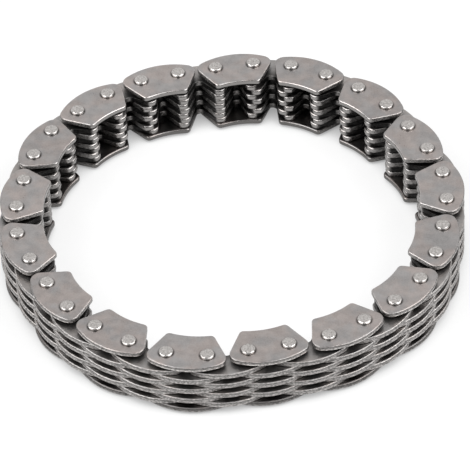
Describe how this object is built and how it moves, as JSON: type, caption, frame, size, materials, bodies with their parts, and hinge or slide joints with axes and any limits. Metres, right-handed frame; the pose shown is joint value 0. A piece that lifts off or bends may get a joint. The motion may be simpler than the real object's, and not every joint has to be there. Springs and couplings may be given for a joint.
{
  "type": "silent chain",
  "caption": "Closed silent chain of toothed plates laced on round pins between guide plates, lying on its side in a ring with the teeth inward, to run on inverted-tooth sprockets.",
  "frame": {"origin": "middle of the loop, at the level of the lower pin ends", "axes": "+Z along the pins, upward as the chain lies on its side; X and Y in the plane of the loop"},
  "size_m": [0.0748, 0.0744, 0.0105],
  "materials": {
    "plates": "satin, tumbled after stamping",
    "pins": "bright, ground sides and pebbled ends"
  },
  "bodies": {
    "guide_row_01": {"guide_link_01": "plates", "pins_01": "pins"},
    "inner_row_01": {"inner_link_01": "plates"},
    "guide_row_02": {"guide_link_02": "plates", "pins_02": "pins"},
    "inner_row_02": {"inner_link_02": "plates"},
    "guide_row_03": {"guide_link_03": "plates", "pins_03": "pins"},
    "inner_row_03": {"inner_link_03": "plates"},
    "guide_row_04": {"guide_link_04": "plates", "pins_04": "pins"},
    "inner_row_04": {"inner_link_04": "plates"},
    "guide_row_05": {"guide_link_05": "plates", "pins_05": "pins"},
    "inner_row_05": {"inner_link_05": "plates"},
    "guide_row_06": {"guide_link_06": "plates", "pins_06": "pins"},
    "inner_row_06": {"inner_link_06": "plates"},
    "guide_row_07": {"guide_link_07": "plates", "pins_07": "pins"},
    "inner_row_07": {"inner_link_07": "plates"},
    "guide_row_08": {"guide_link_08": "plates", "pins_08": "pins"},
    "inner_row_08": {"inner_link_08": "plates"},
    "guide_row_09": {"guide_link_09": "plates", "pins_09": "pins"},
    "inner_row_09": {"inner_link_09": "plates"},
    "guide_row_10": {"guide_link_10": "plates", "pins_10": "pins"},
    "inner_row_10": {"inner_link_10": "plates"},
    "guide_row_11": {"guide_link_11": "plates", "pins_11": "pins"},
    "inner_row_11": {"inner_link_11": "plates"},
    "guide_row_12": {"guide_link_12": "plates", "pins_12": "pins"},
    "inner_row_12": {"inner_link_12": "plates"},
    "guide_row_13": {"guide_link_13": "plates", "pins_13": "pins"},
    "inner_row_13": {"inner_link_13": "plates"},
    "guide_row_14": {"guide_link_14": "plates", "pins_14": "pins"},
    "inner_row_14": {"inner_link_14": "plates"},
    "guide_row_15": {"guide_link_15": "plates", "pins_15": "pins"},
    "inner_row_15": {"inner_link_15": "plates"},
    "guide_row_16": {"guide_link_16": "plates", "pins_16": "pins"},
    "inner_row_16": {"inner_link_16": "plates"},
    "guide_row_17": {"guide_link_17": "plates", "pins_17": "pins"},
    "inner_row_17": {"inner_link_17": "plates"}
  },
  "joints": [
    {"name": "pin_02_hinge", "type": "hinge", "parent": "guide_row_01", "child": "inner_row_01", "pos_m": [-0.01412, 0.03115, 0], "axis": [0, 0, 1], "range_deg": [-10.5, 10.5]},
    {"name": "pin_03_hinge", "type": "hinge", "parent": "inner_row_01", "child": "guide_row_02", "pos_m": [-0.01972, 0.02817, 0], "axis": [0, 0, 1], "range_deg": [-9.89, 9.89]},
    {"name": "pin_04_hinge", "type": "hinge", "parent": "guide_row_02", "child": "inner_row_02", "pos_m": [-0.02465, 0.02417, 0], "axis": [0, 0, 1], "range_deg": [-7.84, 7.84]},
    {"name": "pin_05_hinge", "type": "hinge", "parent": "inner_row_02", "child": "guide_row_03", "pos_m": [-0.02892, 0.01946, 0], "axis": [0, 0, 1], "range_deg": [-4.73, 4.73]},
    {"name": "pin_06_hinge", "type": "hinge", "parent": "guide_row_03", "child": "inner_row_03", "pos_m": [-0.03173, 0.01377, 0], "axis": [0, 0, 1], "range_deg": [-0.98, 0.98]},
    {"name": "pin_07_hinge", "type": "hinge", "parent": "inner_row_03", "child": "guide_row_04", "pos_m": [-0.03326, 0.0076, 0], "axis": [0, 0, 1], "range_deg": [-2.9, 2.9]},
    {"name": "pin_08_hinge", "type": "hinge", "parent": "guide_row_04", "child": "inner_row_04", "pos_m": [-0.03434, 0.00135, 0], "axis": [0, 0, 1], "range_deg": [-6.39, 6.39]},
    {"name": "pin_09_hinge", "type": "hinge", "parent": "inner_row_04", "child": "guide_row_05", "pos_m": [-0.03413, -0.005, 0], "axis": [0, 0, 1], "range_deg": [-9.02, 9.02]},
    {"name": "pin_10_hinge", "type": "hinge", "parent": "guide_row_05", "child": "inner_row_05", "pos_m": [-0.03207, -0.01101, 0], "axis": [0, 0, 1], "range_deg": [-10.42, 10.42]},
    {"name": "pin_11_hinge", "type": "hinge", "parent": "inner_row_05", "child": "guide_row_06", "pos_m": [-0.0293, -0.01672, 0], "axis": [0, 0, 1], "range_deg": [-10.42, 10.42]},
    {"name": "pin_12_hinge", "type": "hinge", "parent": "guide_row_06", "child": "inner_row_06", "pos_m": [-0.02611, -0.02221, 0], "axis": [0, 0, 1], "range_deg": [-9.02, 9.02]},
    {"name": "pin_13_hinge", "type": "hinge", "parent": "inner_row_06", "child": "guide_row_07", "pos_m": [-0.02177, -0.02685, 0], "axis": [0, 0, 1], "range_deg": [-6.39, 6.39]},
    {"name": "pin_14_hinge", "type": "hinge", "parent": "guide_row_07", "child": "inner_row_07", "pos_m": [-0.01659, -0.03052, 0], "axis": [0, 0, 1], "range_deg": [-2.9, 2.9]},
    {"name": "pin_15_hinge", "type": "hinge", "parent": "inner_row_07", "child": "guide_row_08", "pos_m": [-0.01091, -0.03335, 0], "axis": [0, 0, 1], "range_deg": [-0.98, 0.98]},
    {"name": "pin_16_hinge", "type": "hinge", "parent": "guide_row_08", "child": "inner_row_08", "pos_m": [-0.00464, -0.03436, 0], "axis": [0, 0, 1], "range_deg": [-4.73, 4.73]},
    {"name": "pin_17_hinge", "type": "hinge", "parent": "inner_row_08", "child": "guide_row_09", "pos_m": [0.00167, -0.03364, 0], "axis": [0, 0, 1], "range_deg": [-7.84, 7.84]},
    {"name": "pin_18_hinge", "type": "hinge", "parent": "guide_row_09", "child": "inner_row_09", "pos_m": [0.00794, -0.03264, 0], "axis": [0, 0, 1], "range_deg": [-9.89, 9.89]},
    {"name": "pin_01_hinge", "type": "hinge", "parent": "guide_row_01", "child": "inner_row_17", "pos_m": [-0.00794, 0.03264, 0], "axis": [0, 0, 1], "range_deg": [-9.89, 9.89]},
    {"name": "pin_34_hinge", "type": "hinge", "parent": "inner_row_17", "child": "guide_row_17", "pos_m": [-0.00167, 0.03364, 0], "axis": [0, 0, 1], "range_deg": [-7.84, 7.84]},
    {"name": "pin_33_hinge", "type": "hinge", "parent": "guide_row_17", "child": "inner_row_16", "pos_m": [0.00464, 0.03436, 0], "axis": [0, 0, 1], "range_deg": [-4.73, 4.73]},
    {"name": "pin_32_hinge", "type": "hinge", "parent": "inner_row_16", "child": "guide_row_16", "pos_m": [0.01091, 0.03335, 0], "axis": [0, 0, 1], "range_deg": [-0.98, 0.98]},
    {"name": "pin_31_hinge", "type": "hinge", "parent": "guide_row_16", "child": "inner_row_15", "pos_m": [0.01659, 0.03052, 0], "axis": [0, 0, 1], "range_deg": [-2.9, 2.9]},
    {"name": "pin_30_hinge", "type": "hinge", "parent": "inner_row_15", "child": "guide_row_15", "pos_m": [0.02177, 0.02685, 0], "axis": [0, 0, 1], "range_deg": [-6.39, 6.39]},
    {"name": "pin_29_hinge", "type": "hinge", "parent": "guide_row_15", "child": "inner_row_14", "pos_m": [0.02611, 0.02221, 0], "axis": [0, 0, 1], "range_deg": [-9.02, 9.02]},
    {"name": "pin_28_hinge", "type": "hinge", "parent": "inner_row_14", "child": "guide_row_14", "pos_m": [0.0293, 0.01672, 0], "axis": [0, 0, 1], "range_deg": [-10.42, 10.42]},
    {"name": "pin_27_hinge", "type": "hinge", "parent": "guide_row_14", "child": "inner_row_13", "pos_m": [0.03207, 0.01101, 0], "axis": [0, 0, 1], "range_deg": [-10.42, 10.42]},
    {"name": "pin_26_hinge", "type": "hinge", "parent": "inner_row_13", "child": "guide_row_13", "pos_m": [0.03413, 0.005, 0], "axis": [0, 0, 1], "range_deg": [-9.02, 9.02]},
    {"name": "pin_25_hinge", "type": "hinge", "parent": "guide_row_13", "child": "inner_row_12", "pos_m": [0.03434, -0.00135, 0], "axis": [0, 0, 1], "range_deg": [-6.39, 6.39]},
    {"name": "pin_24_hinge", "type": "hinge", "parent": "inner_row_12", "child": "guide_row_12", "pos_m": [0.03326, -0.0076, 0], "axis": [0, 0, 1], "range_deg": [-2.9, 2.9]},
    {"name": "pin_23_hinge", "type": "hinge", "parent": "guide_row_12", "child": "inner_row_11", "pos_m": [0.03173, -0.01377, 0], "axis": [0, 0, 1], "range_deg": [-0.98, 0.98]},
    {"name": "pin_22_hinge", "type": "hinge", "parent": "inner_row_11", "child": "guide_row_11", "pos_m": [0.02892, -0.01946, 0], "axis": [0, 0, 1], "range_deg": [-4.73, 4.73]},
    {"name": "pin_21_hinge", "type": "hinge", "parent": "guide_row_11", "child": "inner_row_10", "pos_m": [0.02465, -0.02417, 0], "axis": [0, 0, 1], "range_deg": [-7.84, 7.84]},
    {"name": "pin_20_hinge", "type": "hinge", "parent": "inner_row_10", "child": "guide_row_10", "pos_m": [0.01972, -0.02817, 0], "axis": [0, 0, 1], "range_deg": [-9.89, 9.89]}
  ],
  "couplings": [
    {"joint": "pin_03_hinge", "follows": "pin_02_hinge", "ratio": 0.93247},
    {"joint": "pin_04_hinge", "follows": "pin_02_hinge", "ratio": 0.73901},
    {"joint": "pin_05_hinge", "follows": "pin_02_hinge", "ratio": 0.44574},
    {"joint": "pin_06_hinge", "follows": "pin_02_hinge", "ratio": 0.092268},
    {"joint": "pin_07_hinge", "follows": "pin_02_hinge", "ratio": -0.27366},
    {"joint": "pin_08_hinge", "follows": "pin_02_hinge", "ratio": -0.60263},
    {"joint": "pin_09_hinge", "follows": "pin_02_hinge", "ratio": -0.85022},
    {"joint": "pin_10_hinge", "follows": "pin_02_hinge", "ratio": -0.98297},
    {"joint": "pin_11_hinge", "follows": "pin_02_hinge", "ratio": -0.98297},
    {"joint": "pin_12_hinge", "follows": "pin_02_hinge", "ratio": -0.85022},
    {"joint": "pin_13_hinge", "follows": "pin_02_hinge", "ratio": -0.60263},
    {"joint": "pin_14_hinge", "follows": "pin_02_hinge", "ratio": -0.27366},
    {"joint": "pin_15_hinge", "follows": "pin_02_hinge", "ratio": 0.092268},
    {"joint": "pin_16_hinge", "follows": "pin_02_hinge", "ratio": 0.44574},
    {"joint": "pin_17_hinge", "follows": "pin_02_hinge", "ratio": 0.73901},
    {"joint": "pin_18_hinge", "follows": "pin_02_hinge", "ratio": 0.93247},
    {"joint": "pin_01_hinge", "follows": "pin_02_hinge", "ratio": -0.93247},
    {"joint": "pin_34_hinge", "follows": "pin_02_hinge", "ratio": -0.73901},
    {"joint": "pin_33_hinge", "follows": "pin_02_hinge", "ratio": -0.44574},
    {"joint": "pin_32_hinge", "follows": "pin_02_hinge", "ratio": -0.092268},
    {"joint": "pin_31_hinge", "follows": "pin_02_hinge", "ratio": 0.27366},
    {"joint": "pin_30_hinge", "follows": "pin_02_hinge", "ratio": 0.60263},
    {"joint": "pin_29_hinge", "follows": "pin_02_hinge", "ratio": 0.85022},
    {"joint": "pin_28_hinge", "follows": "pin_02_hinge", "ratio": 0.98297},
    {"joint": "pin_27_hinge", "follows": "pin_02_hinge", "ratio": 0.98297},
    {"joint": "pin_26_hinge", "follows": "pin_02_hinge", "ratio": 0.85022},
    {"joint": "pin_25_hinge", "follows": "pin_02_hinge", "ratio": 0.60263},
    {"joint": "pin_24_hinge", "follows": "pin_02_hinge", "ratio": 0.27366},
    {"joint": "pin_23_hinge", "follows": "pin_02_hinge", "ratio": -0.092268},
    {"joint": "pin_22_hinge", "follows": "pin_02_hinge", "ratio": -0.44574},
    {"joint": "pin_21_hinge", "follows": "pin_02_hinge", "ratio": -0.73901},
    {"joint": "pin_20_hinge", "follows": "pin_02_hinge", "ratio": -0.93247}
  ]
}
